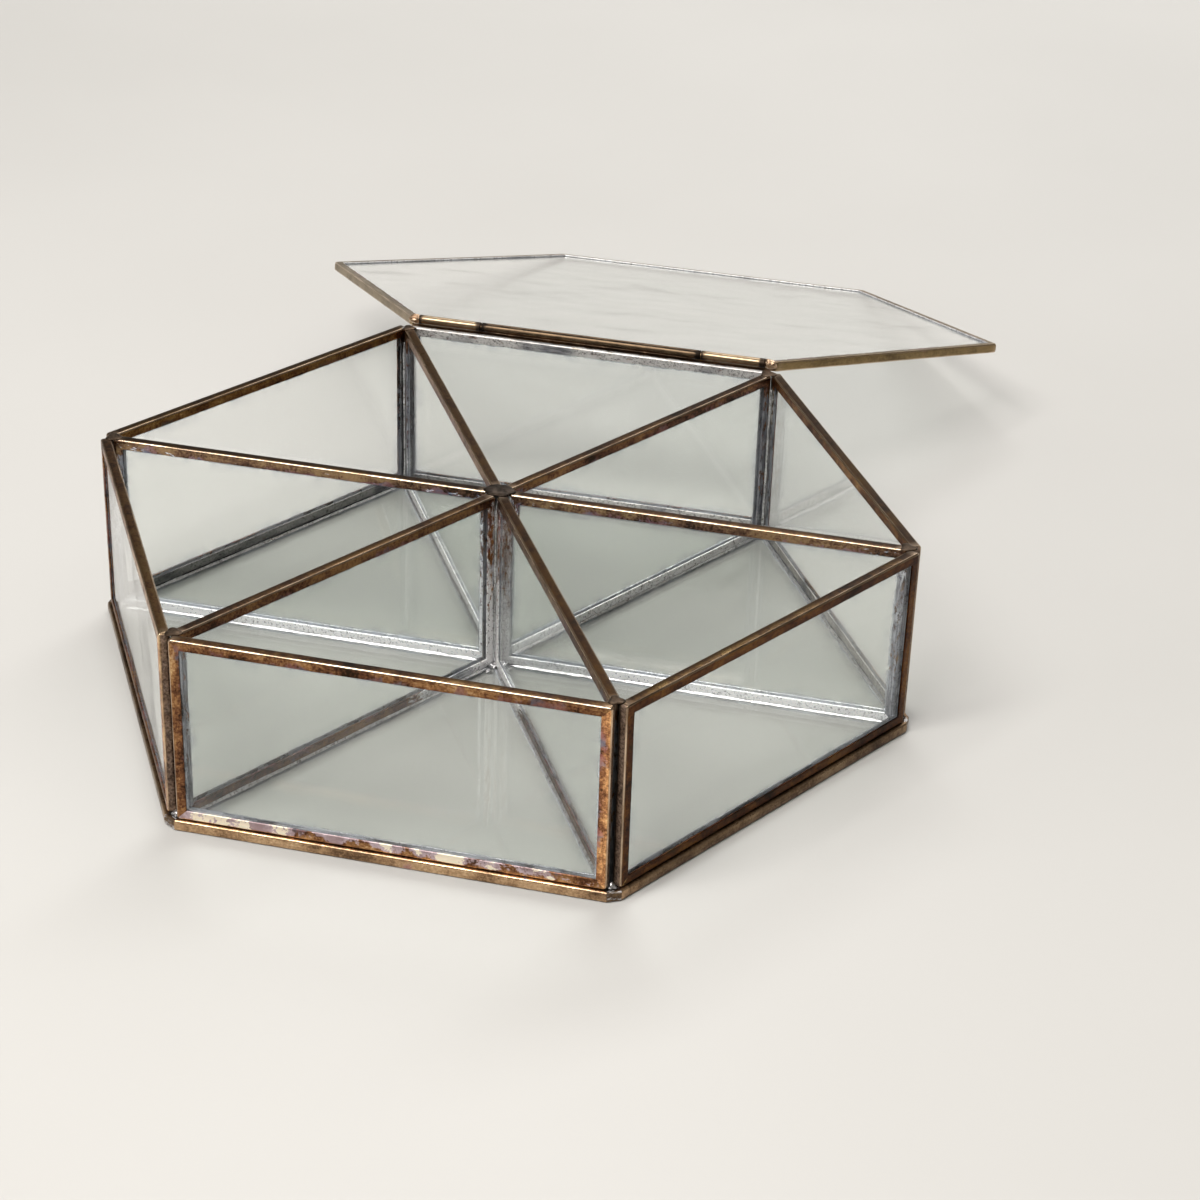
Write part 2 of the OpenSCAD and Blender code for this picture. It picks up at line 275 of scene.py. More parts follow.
def aged_brass(name, tones, shift=0.0, mottle=1.0):
    """Antique patina over folded brass. tones are four colours, from dark to bright."""
    m = Shading(name)
    strip, tone_and_painted_light = m.mask("strip", "Vector"), m.mask("tone_and_painted_light", "Vector")
    fold, tin, depth, dark, heat, cool, pale, dust = (m.mask(key) for key in (
        "fold", "tin", "depth", "dark", "heat", "cool", "pale", "dust"))

    blotches = m.noise(m.place, 230, 7, 0.68, 0.5, move=(shift, 0, 0))
    clouds = m.noise(m.place, 46, 3, 0.5, 0.2, move=(0, shift, 0.3))
    streaks = m.noise(strip, 1500, 5, 0.65, stretch=(0.08, 1, 1))
    grain = m.noise(strip, 3400, 3, 0.7, stretch=(0.5, 1, 1))
    speckle = m.noise(m.place, 1350, 4, 0.75)

    tone = m.plus(m.swing(blotches, 0.85 * mottle), m.swing(clouds, 0.85 * mottle),
                  m.swing(streaks, 0.3), m.swing(speckle, 0.85 * mottle), 0.56)
    # Painted shade: darker where the dark mask marks seams, rims and recesses; also darker
    # towards the lip
    tone = m.minus(tone, m.times(depth, 0.13), m.times(dark, 0.24))
    colour = m.ramp(tone, tuple(zip((0.24, 0.42, 0.58, 0.8), tones)))

    # Heat tint left by the iron: plum towards the lip and slate between
    warmth = m.plus(m.noise(m.place, 85, 5, 0.6, 0.9, move=(0.7, shift, 0.1)),
                    m.times(m.minus(depth, 0.45), 0.18), m.times(heat, 0.13),
                    m.swing(speckle, 0.3))
    burnt = m.ramp(m.noise(m.place, 210, 4, 0.6, 0.4),
                   ((0.38, PLUM), (0.5, RUSSET), (0.62, SLATE)))
    colour = m.blend(m.times(m.span(warmth, 0.585, 0.665), 0.72), colour, burnt)

    # Pale patches with crisp edges, mauve and cream, where flux ran out
    patch = m.plus(m.noise(m.place, 62, 5, 0.55, 1.4, move=(0.2, shift, 0.9)),
                   m.swing(speckle, 0.22))
    mauve = m.blend(m.span(blotches, 0.4, 0.6), DULL_MAUVE, MAUVE)
    ran = m.blend(m.span(patch, 0.53, 0.55), mauve, CREAM)
    patched = m.span(m.plus(m.times(pale, 0.42), m.minus(patch, 0.82)), 0.0, 0.03)
    colour = m.blend(patched, colour, ran)

    # Tinned places: solder wiped thin over the brass, silver with dark pits
    wiped = m.noise(strip, 800, 6, 0.68, 0.3, stretch=(0.35, 1, 1))
    tinned = m.span(m.plus(m.swing(wiped, 1.6), tin), 0.42, 0.6)
    silver = m.blend(m.span(speckle, 0.36, 0.52), PITTED, SILVER)
    silver = m.blend(m.span(wiped, 0.5, 0.66), silver, MIRROR)
    chilled = m.span(m.plus(clouds, m.times(cool, 0.3)), 0.56, 0.74)
    chill = m.blend(m.span(streaks, 0.46, 0.62), NIGHT, STEEL)
    silver = m.blend(m.times(chilled, 0.85), silver, chill)
    colour = m.blend(tinned, colour, silver)

    # The strip's own tone, with its painted light and shade, which hardly colours its tin
    grey = m.node("RGBToBW", {0: tone_and_painted_light}).outputs[0]
    tone_and_painted_light = m.blend(m.times(tinned, 0.85), tone_and_painted_light, grey)
    colour = m.blend(1.0, colour, tone_and_painted_light, "MULTIPLY")

    # Folded edges rubbed bright, in broken lengths; partly wear, partly a painted highlight
    # along the folds
    broken = m.span(m.noise(strip, 420, 4, 0.6, stretch=(0.22, 0.6, 1)), 0.36, 0.62)
    rubbed_and_highlit = m.times(fold, m.plus(m.times(broken, 0.55), 0.27))
    colour = m.blend(rubbed_and_highlit, colour, m.blend(tinned, WORN_AND_HIGHLIT, WORN_TIN_AND_HIGHLIT))

    # Dull residue in the grooves, and near black painted shade deep in the crevices
    dulled = m.times(dust, m.span(blotches, 0.3, 0.62, 0.55, 1.0))
    colour = m.blend(dulled, colour, m.blend(m.span(speckle, 0.38, 0.62), GRIME, DUST))
    painted_deep_shade = m.span(m.plus(dark, m.times(speckle, 0.5)), 0.95, 1.3)
    colour = m.blend(m.times(painted_deep_shade, 0.85), colour, DEEP_SHADE_BLACK)

    rough = m.plus(m.span(tone, 0.25, 0.8, 0.44, 0.27), m.swing(grain, 0.18))
    for share, value in ((fold, m.span(broken, 0.0, 1.0, 0.26, 0.17)),
                         (tinned, m.span(wiped, 0.35, 0.65, 0.5, 0.3)),
                         (patched, 0.46), (dulled, 0.6), (painted_deep_shade, 0.78)):
        rough = m.between(share, rough, value)
    metal = m.minus(0.97, m.times(painted_deep_shade, 0.8), m.times(tinned, 0.42), m.times(patched, 0.35))
    metal = m.minus(metal, m.times(dulled, 0.6), clamp=True)
    relief = m.relief((grain, 0.03 * MM, 0.5), (blotches, 0.1 * MM, 0.22),
                      (m.times(m.noise(m.place, 900, 4, 0.6), tinned), 0.12 * MM, 0.8))
    return m.finish(m.principled(colour, rough, relief, metal))


def solder(name, low, high, glint, tarnish, rough=0.34):
    """Hand-run solder: bright where it froze smooth, tarnished and pitted elsewhere."""
    m = Shading(name)
    clouds = m.noise(m.place, 260, 5, 0.62, 0.4)
    fine = m.noise(m.place, 1500, 5, 0.72)
    pits = m.span(fine, 0.3, 0.5)
    colour = m.ramp(clouds, ((0.34, low), (0.58, high), (0.7, glint)))
    colour = m.blend(m.minus(1.0, pits), colour, tarnish)
    darker = m.span(m.noise(m.place, 480, 4, 0.6, 0.8), 0.54, 0.7)
    colour = m.blend(m.times(darker, 0.75), colour, tarnish)
    rough = m.plus(m.span(clouds, 0.35, 0.7, rough + 0.14, rough - 0.08), m.times(darker, 0.2))
    relief = m.relief((fine, 0.05 * MM, 0.6), (clouds, 0.22 * MM, 0.5))
    return m.finish(m.principled(colour, rough, relief, 0.95))


def hinge_brass(name, base, bright, darker, shine):
    """Drawn brass tube, polished by handling, darker towards its ends and along its seam."""
    m = Shading(name)
    drawn = m.noise(m.mask("strip", "Vector"), 3600, 3, 0.6, stretch=(0.03, 1, 1))
    clouds = m.noise(m.place, 330, 5, 0.62, 0.4)
    colour = m.blend(m.span(drawn, 0.25, 0.75), base, bright)
    colour = m.blend(m.span(clouds, 0.3, 0.6), base, colour)
    spread = m.span(m.plus(clouds, m.times(m.mask("dark"), 0.55)), 0.6, 0.86)
    colour = m.blend(spread, colour, darker)
    rough = m.plus(m.times(spread, 0.25), shine, m.times(drawn, 0.12))
    relief = m.relief((drawn, 0.02 * MM, 0.22), (clouds, 0.08 * MM, 0.2))
    return m.finish(m.principled(colour, rough, relief, 0.97))


def sixth_angle(m, place, offset):
    """Signed angle from the nearest of six directions, distance from the Z axis, and z."""
    x, y, z = m.node("SeparateXYZ", {0: place}).outputs
    turn = m.minus(m.calc("DIVIDE", m.calc("ARCTAN2", y, x), SIXTH), offset)
    turn = m.minus(turn, m.calc("ROUND", turn, 0.0))
    far = m.calc("SQRT", m.plus(m.times(x, x), m.times(y, y)))
    return m.times(turn, SIXTH), far, z


def edge_distance(m, kind):
    """How far a point of a pane lies inside the edge of its channel, in metres."""
    if kind in ("wall", "divider"):
        angle, far, z = sixth_angle(m, m.place, 0.5 if kind == "wall" else 0.0)
        low = WALL_Z0 if kind == "wall" else FLOOR_Z
        down, up = m.minus(z, low + LEG), m.minus(RIM_Z - LEG, z)
        if kind == "wall":
            along = m.calc("ABSOLUTE", m.times(far, m.calc("SINE", angle)))
            side = m.minus(WALL_L / 2 - LEG, along)
        else:
            side = m.calc("MINIMUM", m.minus(far, HUB_R + LEG), m.minus(DIVIDER_END - LEG, far))
        return m.calc("MINIMUM", m.calc("MINIMUM", down, up), side)
    place = m.place
    if kind == "lid":
        place = m.node("Mapping", {
            "Vector": place, "Location": LID_PLACE @ LID_MIDDLE, "Rotation": (LID_TURN, 0, 0),
        }, vector_type="TEXTURE").outputs["Vector"]
    angle, far, _ = sixth_angle(m, place, 0.5)
    apothem = m.times(far, m.calc("COSINE", angle))
    if kind == "lid":
        return m.minus(LID_FLATS / 2 - LEG, apothem)
    # The feet of the dividers and walls leave residue on the floor
    angle, far, _ = sixth_angle(m, place, 0.0)
    foot = m.calc("ABSOLUTE", m.times(far, m.calc("SINE", angle)))
    return m.calc("MINIMUM", m.minus(WALL_IN, apothem), m.minus(foot, CHANNEL_W / 2))


GLASS, HAZED_GLASS = (0.945, 0.96, 0.95), (0.78, 0.82, 0.88)
GLASS_SHADOW = (0.955, 0.966, 0.958, 1)
GLASS_IOR = 1.5


def sheet_glass(kind):
    """Clear sheet glass with a faint grey-green body, slow waves and haze by its channel."""
    m = Shading(f"{kind}_glass_clear")
    inside = edge_distance(m, kind)
    patchy = m.noise(m.place, 95, 5, 0.65, 0.5)
    near = m.span(inside, 0.0, 5.0 * MM, 1.0, 0.0)
    haze = m.times(near, m.span(patchy, 0.36, 0.72))
    ragged = m.plus(inside, m.times(m.noise(m.place, 520, 4, 0.7), -0.9 * MM))
    rim = m.times(m.span(ragged, -0.25 * MM, 0.3 * MM, 1.0, 0.0), m.span(patchy, 0.36, 0.56))
    wipes = m.noise(m.place, 34, 6, 0.7, 1.2, stretch=(1, 1, 2.6))
    smear = m.span(wipes, 0.62, 0.85, 0.0, 0.035)
    veil = m.plus(m.plus(m.times(haze, 0.07), m.times(rim, 0.42)), smear, clamp=True)
    waves = m.noise(m.place, 21, 2, 0.5)
    glass = m.principled(m.blend(m.span(veil, 0.0, 0.1), GLASS, HAZED_GLASS), 0.0,
                         m.relief((waves, 0.35 * MM, 0.3)),
                         extra={"IOR": GLASS_IOR, "Transmission Weight": m.minus(1.0, veil)})
    # Shadow rays pass straight through, so the panes don't darken the floor
    clear = m.node("BsdfTransparent", {"Color": GLASS_SHADOW}).outputs["BSDF"]
    shadow = m.node("LightPath").outputs["Is Shadow Ray"]
    return m.finish(m.node("MixShader", {0: shadow, 1: glass, 2: clear}).outputs[0])


def floor_surface():
    m = Shading("pale_floor")
    soft, fine = m.noise(m.place, 3.0, 3, 0.5), m.noise(m.place, 900, 3, 0.6)
    colour = m.ramp(soft, ((0.35, (0.6, 0.592, 0.575)), (0.65, (0.63, 0.622, 0.606))))
    rough = m.plus(m.times(fine, 0.1), 0.55)
    return m.finish(m.principled(colour, rough, m.relief((fine, 0.05 * MM, 0.3))))


def pin_surface():
    m = Shading("pin_brass")
    drawn = m.noise(m.place, 1500, 4, 0.6, stretch=(0.1, 1, 1))
    colour = m.ramp(drawn, ((0.35, (0.16, 0.1, 0.06)), (0.65, (0.55, 0.36, 0.18))))
    return m.finish(m.principled(colour, m.span(drawn, 0.3, 0.7, 0.45, 0.28), None, 0.95))


WALL_BRASS = aged_brass("wall_brass", (UMBER, COPPER, GOLDEN, PALE_GOLD))
BASE_BRASS = aged_brass(
    "base_brass", (UMBER, (0.11, 0.062, 0.031), (0.25, 0.15, 0.075), (0.43, 0.29, 0.16)),
    0.13, 0.8,
)
DIVIDER_BRASS = aged_brass(
    "divider_brass", (UMBER, (0.13, 0.056, 0.029), (0.26, 0.135, 0.055), GOLDEN), 0.31
)
LID_BRASS = aged_brass(
    "lid_brass", (UMBER, OLIVE, (0.24, 0.165, 0.072), (0.33, 0.22, 0.1)), 0.57, 0.5
)
SOFT_SOLDER = solder(
    "soft_solder", (0.42, 0.425, 0.445), (0.7, 0.7, 0.715), (0.9, 0.9, 0.905),
    (0.15, 0.135, 0.125),
)
DARK_SOLDER = solder(
    "dark_solder", (0.022, 0.016, 0.012), (0.04, 0.029, 0.022), (0.075, 0.056, 0.043),
    (0.012, 0.009, 0.007), 0.48,
)
RIM_SOLDER = solder(
    "rim_solder", (0.04, 0.026, 0.017), (0.08, 0.052, 0.033), (0.19, 0.13, 0.088),
    (0.022, 0.015, 0.011), 0.4,
)
COPPERED_SOLDER = solder(
    "coppered_solder", (0.4, 0.25, 0.155), (0.66, 0.47, 0.32), (0.87, 0.72, 0.55),
    (0.12, 0.07, 0.04), 0.27,
)
BRIGHT_BRASS = hinge_brass(
    "bright_brass", (0.24, 0.17, 0.105), (0.42, 0.325, 0.215), (0.05, 0.035, 0.025), 0.24
)
DARK_BRASS = hinge_brass(
    "dark_brass", (0.085, 0.058, 0.038), (0.205, 0.14, 0.082), (0.022, 0.016, 0.012), 0.33
)

# --- folded strips


def arc(centre, radius, start, end, steps):
    """Points of an arc, from start to end degrees, with how near each is to its middle."""
    for i in range(steps + 1):
        share = i / steps
        a = radians(start + (end - start) * share)
        across = (centre[0] + radius * cos(a), centre[1] + radius * sin(a))
        yield across, sin(pi * share)


def strip_profile():
    """Cross-section of the folded strip: (inward, across, fold, outside) round its loop."""
    half, points = CHANNEL_W / 2, []
    for sign in (1, -1):
        lip = [(p, 0.0) for p, _ in arc((LEG - LIP_R, half - LIP_R), LIP_R, 0, 90, 3)]
        leg = [((LEG * k, half), 0.0) for k in (0.72, 0.48)]
        fold = []
        for k, (p, near) in enumerate(arc((FOLD_R, half - FOLD_R), FOLD_R, 90, 180, 7)):
            fold.append(((p[0] + CROWN * k / 7, p[1]), near**3))
        side = half - FOLD_R
        back = [((CROWN * k * k, side * k), 0.0) for k in (0.66, 0.33)]
        part = [(x, sign * y, near, 1.0) for (x, y), near in lip + leg + fold + back]
        points += part + [(0.0, 0.0, 0.0, 1.0)] if sign == 1 else part[::-1]
    inner = half - SHEET
    for sign in (-1, 1):
        slot = [(LEG, inner + INNER_BEVEL, 0.8), (LEG - INNER_BEVEL, inner, 0.45),
                (LEG * 0.5, inner, 0.0), (SHEET + INNER_BEVEL, inner, 0.0),
                (SHEET, inner - INNER_BEVEL, 0.0)]
        part = [(x, sign * y, 0.0, outside) for x, y, outside in slot]
        points += part if sign == -1 else part[::-1]
    return points


PROFILE = strip_profile()
# Distance round the profile at each of its points, and the whole way round
*PROFILE_RUN, PROFILE_ROUND = itertools.accumulate(
    (hypot(b[0] - a[0], b[1] - a[1]) for a, b in zip(PROFILE, PROFILE[1:] + PROFILE[:1])),
    initial=0.0,
)

# A place on an outline: its corner, how far through the corner's bend, how far along the side
# after it, its distance round the outline, and the side it counts to
Station = namedtuple("Station", "corner bend along s side")


class Outline:
    """A closed convex outline with rounded corners, met at stations along its way."""

    def __init__(self, corners, corner_r, spacing=2.6 * MM, bend_steps=6):
        self.corner_r = corner_r
        self.corners = [Vector(c) for c in corners]
        following = self.corners[1:] + self.corners[:1]
        ways = [(b - a).normalized() for a, b in zip(self.corners, following)]
        self.inward = [Vector((-way.y, way.x)) for way in ways]
        count = len(corners)
        self.opening = [pi - self.inward[i - 1].angle(self.inward[i]) for i in range(count)]
        self.stations, s = [], 0.0
        for i in range(count):
            bend = corner_r * (pi - self.opening[i])
            for k in range(bend_steps):
                share = k / bend_steps
                side = i if share >= 0.5 else (i - 1) % count
                self.stations.append(Station(i, share, 0.0, s + bend * share, side))
            s += bend
            cut = corner_r / tan(self.opening[i] / 2)
            after = corner_r / tan(self.opening[(i + 1) % count] / 2)
            length = (following[i] - self.corners[i]).length - cut - after
            pieces = max(3, round(length / spacing))
            for k in range(pieces):
                share = k / pieces
                self.stations.append(Station(i, 1.0, share, s + length * share, i))
            s += length
        self.round = s
        self.side_start = [
            next(t.s for t in self.stations if t.corner == i and t.bend >= 0.5)
            for i in range(count)
        ]

    def bend_point(self, i, share, inward):
        """Point of the bend at corner i, for a line that far inside the outline."""
        r = max(self.corner_r - inward, LEAST_CORNER_R)
        before, after = self.inward[i - 1], self.inward[i]
        middle = (before + after).normalized()
        centre = self.corners[i] + middle * (inward + r) / sin(self.opening[i] / 2)
        turn = pi - self.opening[i]
        out = Matrix.Rotation(turn * share, 2) @ -before
        return centre + out * r

    def point(self, station, inward):
        if station.along == 0.0:
            return self.bend_point(station.corner, station.bend, inward)
        start = self.bend_point(station.corner, 1.0, inward)
        end = self.bend_point((station.corner + 1) % len(self.corners), 0.0, inward)
        return start.lerp(end, station.along)

    def side_share(self, station):
        """How far along its side a station is, from 0 to nearly 1, and the side's length."""
        starts, side = self.side_start, station.side
        length = (starts[(side + 1) % len(starts)] - starts[side]) % self.round
        return ((station.s - starts[side]) % self.round) / length, length

    def corner_distance(self, station):
        """How far along the outline the nearest corner is."""
        if station.along == 0.0:
            return 0.0
        starts, side = self.side_start, station.side
        ahead = starts[(side + 1) % len(starts)] - station.s
        return min(station.s - starts[side], ahead if ahead > 0 else ahead + self.round)


def hexagon(flats):
    r = flats / 2 / cos(HALF_SIXTH)
    return [(r * cos(k * SIXTH), r * sin(k * SIXTH)) for k in range(6)]


def cut_hexagon(flats, tip):
    """A hexagon whose six corners are cut back to the given distance from its centre."""
    along = (flats / 2 / cos(HALF_SIXTH) - tip) / cos(SIXTH)
    return [Vector(corner)
            + Vector((cos((k + turn) * SIXTH), sin((k + turn) * SIXTH))) * along
            for k, corner in enumerate(hexagon(flats)) for turn in (-2, 2)]


def rectangle(wide, high):
    x, y = wide / 2, high / 2
    return [(-x, -y), (x, -y), (x, y), (-x, y)]


def add_masks(mesh, masks):
    """Gives each point its numbers or vectors, for the materials to read."""
    for name, values in masks.items():
        if isinstance(values[0], float):
            data = mesh.attributes.new(name, "FLOAT", "POINT").data
            data.foreach_set("value", values)
        else:
            data = mesh.attributes.new(name, "FLOAT_VECTOR", "POINT").data
            data.foreach_set("vector", [c for v in values for c in v])


def new_object(name, data):
    made = bpy.data.objects.new(name, data)
    scene.collection.objects.link(made)
    return made


def new_piece(name, mesh, material, body, slot, *nodes):
    piece = new_object(name, mesh)
    mesh.materials.append(material)
    mesh.polygons.foreach_set("use_smooth", [True] * len(mesh.polygons))
    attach(piece, body)
    if nodes:
        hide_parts(*nodes)
    return piece


def weigh_normals(piece):
    """Keeps the flat of each leg flat in the shading, and the folds round."""
    modifier = piece.modifiers.new("flat_legs", "WEIGHTED_NORMAL")
    modifier.mode = "FACE_AREA"
    modifier.weight = 60


# How far a point is tinned, darkened (mostly as painted shade), heat-tinted, cool in its tin,
# stained pale and dusty. The marks functions may also scale its rubbed, highlit folds and
# lighten or darken its tone as painted light and shade.
MARKS = ("tin", "dark", "heat", "cool", "pale", "dust")
# Sides of an upright strip in the order of its outline. A divider starts at the hub.
BOTTOM, END, TOP, START = range(4)
HINGE_SIDE = 1


def tone_and_painted_light_at(tones_and_painted_light, inward, across):
    """Blends the tones of a strip's two legs and of the folded edge between them, painted light
    and shade included.
    """
    leg = Vector(tones_and_painted_light[0] if across > 0 else tones_and_painted_light[1])
    return Vector(tones_and_painted_light[2]).lerp(leg, smooth(0.1 * MM, 0.75 * MM, inward))


def strip_faces(outline):
    """Faces of a strip, and the corners of their unrolled UV map: a band for each side."""
    stations, ring, sides = outline.stations, len(PROFILE), len(outline.corners)
    faces, corners = [], []
    for i, station in enumerate(stations):
        following = (i + 1) % len(stations)
        u0, length = outline.side_share(station)
        u1 = min(u0 + (stations[following].s - station.s) % outline.round / length, 1.0)
        for j in range(ring):
            beside = (j + 1) % ring
            reached = PROFILE_RUN[beside] if beside else PROFILE_ROUND
            v0, v1 = ((station.side + 0.03 + 0.94 * run / PROFILE_ROUND) / sides
                      for run in (PROFILE_RUN[j], reached))
            faces.append((i * ring + j, following * ring + j,
                          following * ring + beside, i * ring + beside))
            corners += [(u0, v0), (u1, v0), (u1, v1), (u0, v1)]
    return faces, corners


def folded_strip(name, node, outline, place, marks, tones_and_painted_light, material, body, seed):
    """A channel folded round a pane. marks tells how a point has aged and where light and shade
    are painted on it; the tone table gives its legs and fold their tone, with painted light and
    shade.
    """
    verts, strip = [], []
    masks = {key: [] for key in ("fold", "depth", "tone_and_painted_light") + MARKS}
    for station in outline.stations:
        s = station.s
        closeness = outline.corner_distance(station)
        calm = smooth(0, 5 * MM, closeness)
        sway = 0.022 * MM * (1 + waver(s, seed, 31 * MM)) * calm
        lip = 0.075 * MM * waver(s, seed + 3, 17 * MM) + 0.03 * MM * waver(s, seed + 4, 4 * MM)
        pinch = 0.02 * MM * (1 + waver(s, seed + 5, 12 * MM)) * calm
        for (inward, across, fold, outside), t in zip(PROFILE, PROFILE_RUN):
            depth = inward / LEG
            deeper = inward + (sway * (1 - depth) + lip * depth * calm) * outside
            thinner = across - math.copysign(pinch * outside, across)
            flat = outline.point(station, deeper)
            where = place @ Vector((flat.x, flat.y, thinner))
            verts.append(where)
            strip.append((s, t, seed * 0.37))
            found = marks(where, station.side, inward, across, closeness)
            # Painted shade: the inside of the channel, round the pane, is marked dark
            found["dark"] = max(found["dark"], 0.9 - outside)
            # Rubbed folds, more so near the corners, which also carry a painted highlight
            rubbed_and_highlit_fold = fold + fade(0, 3 * MM, closeness) * (inward < FOLD_R) * 0.3
            masks["fold"].append(min(rubbed_and_highlit_fold, 1.0) * outside * found.get("fold_wear_and_highlight", 1.0))
            masks["depth"].append(depth)
            masks["tone_and_painted_light"].append(tone_and_painted_light_at(tones_and_painted_light, inward, across) * found.get("painted_light_gain", 1.0))
            for key in MARKS:
                masks[key].append(float(found.get(key, 0.0)))
    faces, corners = strip_faces(outline)
    mesh = bpy.data.meshes.new(name)
    mesh.from_pydata(verts, [], faces)
    add_masks(mesh, {"strip": strip, **masks})
    unrolled = mesh.uv_layers.new(name="OFBake")
    unrolled.uv.foreach_set("vector", [0.002 + 0.996 * c for uv in corners for c in uv])
    mesh.flip_normals()
    mesh.update()
    weigh_normals(new_piece(name, mesh, material, body, "aged_brass", node))


def wall_marks(where, side, inward, across, closeness):
    """Walls: brown outside, tinned on the lower inner leg, with painted shade in the seams,
    under the rails and on the rim, and painted light on the front.
    """
    inner = smooth(0.3 * MM, -0.9 * MM, across)
    outer = 1 - inner
    height = (where.z - WALL_Z0) / (RIM_Z - WALL_Z0)
    front, back = where.y < 1 * MM - WALL_IN, where.y > WALL_IN - 1 * MM
    low, high = fade(0, 0.06, height), smooth(0.92, 0.955, height)
    inner_tin = 0.8 - 0.22 * smooth(0.1, 0.9, height) - (0.62 if not back else -0.15) * high
    foot = low * fade(1 * MM, 6 * MM, closeness)
    tin = inner * inner_tin + outer * 0.36 * foot
    edge = fade(0.25 * MM, 0.9 * MM, inward)
    dust = 0.0
    # Painted shade under the bottom rail where it sits on the base, over the rim, and deep in
    # the corner grooves
    if side == BOTTOM:
        dark = 0.85 * edge * fade(0.2 * MM, 1.2 * MM, abs(across))
    elif side == TOP:
        dark = 0.4 * edge
    else:
        dark = edge * fade(-1.3 * MM, -0.5 * MM, across) * 1.2
        dust = edge * smooth(-1.1 * MM, -0.2 * MM, across) * fade(0.9 * MM, 1.3 * MM, across)
        tin *= 1 - edge * 0.8
    # Painted shade along the lip, where it meets the pane
    dark += 0.16 * smooth(0.86, 1.0, inward / LEG)
    heat = fade(0, 22 * MM, closeness) + 0.6 * fade(0, 0.2, height)
    painted_light_gain = 1.0
    # Painted light on the front wall's outer legs, most on its end stile; painted shade on the
    # inner legs of every wall but the back
    if front and outer > 0.5:
        painted_light_gain += 0.35 * low + (1.3 if side == END else 0.1 if side == START else 0.0)
    elif outer < 0.5 and not back:
        painted_light_gain = 0.6 if side == BOTTOM else 1.0 if side == TOP else 0.8
    spilled = 1.06 - 0.26 * smooth(-0.4 * WALL_L, 0.5 * WALL_L, where.x) if front else 0.25
    return dict(tin=tin, dark=dark, heat=heat, dust=dust, painted_light_gain=painted_light_gain,
                cool=inner * (1 if side in (START, END) else 0.35),
                pale=outer * (side == BOTTOM) * spilled * (1 - 0.6 * edge))


def divider_marks(where, side, inward, across, closeness):
    """Dividers: tinned silver at the foot, mottled on the stiles, brown on top; painted shade by
    the folds and lip, painted light on the feet, the hub stiles and part of the tops.
    """
    height = (where.z - FLOOR_Z) / (RIM_Z - FLOOR_Z)
    tin = 1.15 - 0.55 * smooth(0.05, 0.3, height) - 0.4 * smooth(0.85, 0.95, height)
    edge = fade(0.25 * MM, 0.9 * MM, inward)
    # Painted shade by the folded edges and along the lip
    dark = 0.3 * edge + 0.16 * smooth(0.88, 1.0, inward / LEG)
    painted_light_gain = 1.0
    if side == TOP:
        tin -= 0.35 + 0.3 * edge
        # A painted highlight along the near side of the right and left dividers' tops, tinned
        # and lightened
        if abs(where.y) < CHANNEL_W and where.y < -0.3 * CHANNEL_W:
            tin += (0.46 - 0.2 * smooth(0, 50 * MM, closeness)) * (1 - edge)
            painted_light_gain = 1.6
    elif side == START:
        tin = 0.72 - 0.3 * smooth(0.1, 0.9, height) + 0.3 * edge
        # Painted light on the hub stiles
        painted_light_gain = 1.5
    elif side == BOTTOM:
        brown = smooth(12 * MM, 40 * MM, -where.y)
        tin -= 0.98 * brown
        # Painted light on the tinned feet, fading where they turn brown towards the front
        painted_light_gain = 1.45 - 0.75 * brown
    heat = 1.2 - smooth(0, 30 * MM, closeness)
    return dict(tin=tin, dark=dark, heat=heat, painted_light_gain=painted_light_gain,
                cool=0.9 if side == END else 0.2 if side == START else 0.0)


def base_marks(where, side, inward, across, closeness):
    """Base: lightened along the front as painted light, with pale stains there, and brown
    elsewhere; painted shade underneath and under the walls, and darker patina at the corners.
    """
    under = smooth(-0.9 * MM, -1.5 * MM, across)
    seam = smooth(0.9 * MM, 1.4 * MM, inward) * (across > 0)
    corner = side % 2 == 0  # the short sides that cut the corners back
    front = smooth(0.9, 0.99, -where.y / (BASE_FLATS / 2)) * (not corner)
    # Painted light on the front; painted shade underneath and where the walls stand on it; its
    # folds are less rubbed and highlit
    return dict(tin=0.42 * corner, dark=0.5 * under + 0.9 * seam + 0.25 * corner,
                heat=fade(0, 24 * MM, closeness), painted_light_gain=0.8 + 1.2 * front,
                pale=0.25 * front, fold_wear_and_highlight=0.25)


def lid_marks(where, side, inward, across, closeness):
    """Lid: evenly aged, a little tinned and heated along the hinge, with tinned lips lightened
    as painted light.
    """
    hinged = side == HINGE_SIDE
    edge = fade(0.2 * MM, 0.9 * MM, inward)
    lip = smooth(0.9, 0.99, inward / LEG)
    return dict(tin=0.22 * hinged * edge + 1.1 * lip, painted_light_gain=1.0 + 0.3 * lip, dark=0.0,
                heat=0.5 * hinged + 0.4 * fade(0, 14 * MM, closeness))


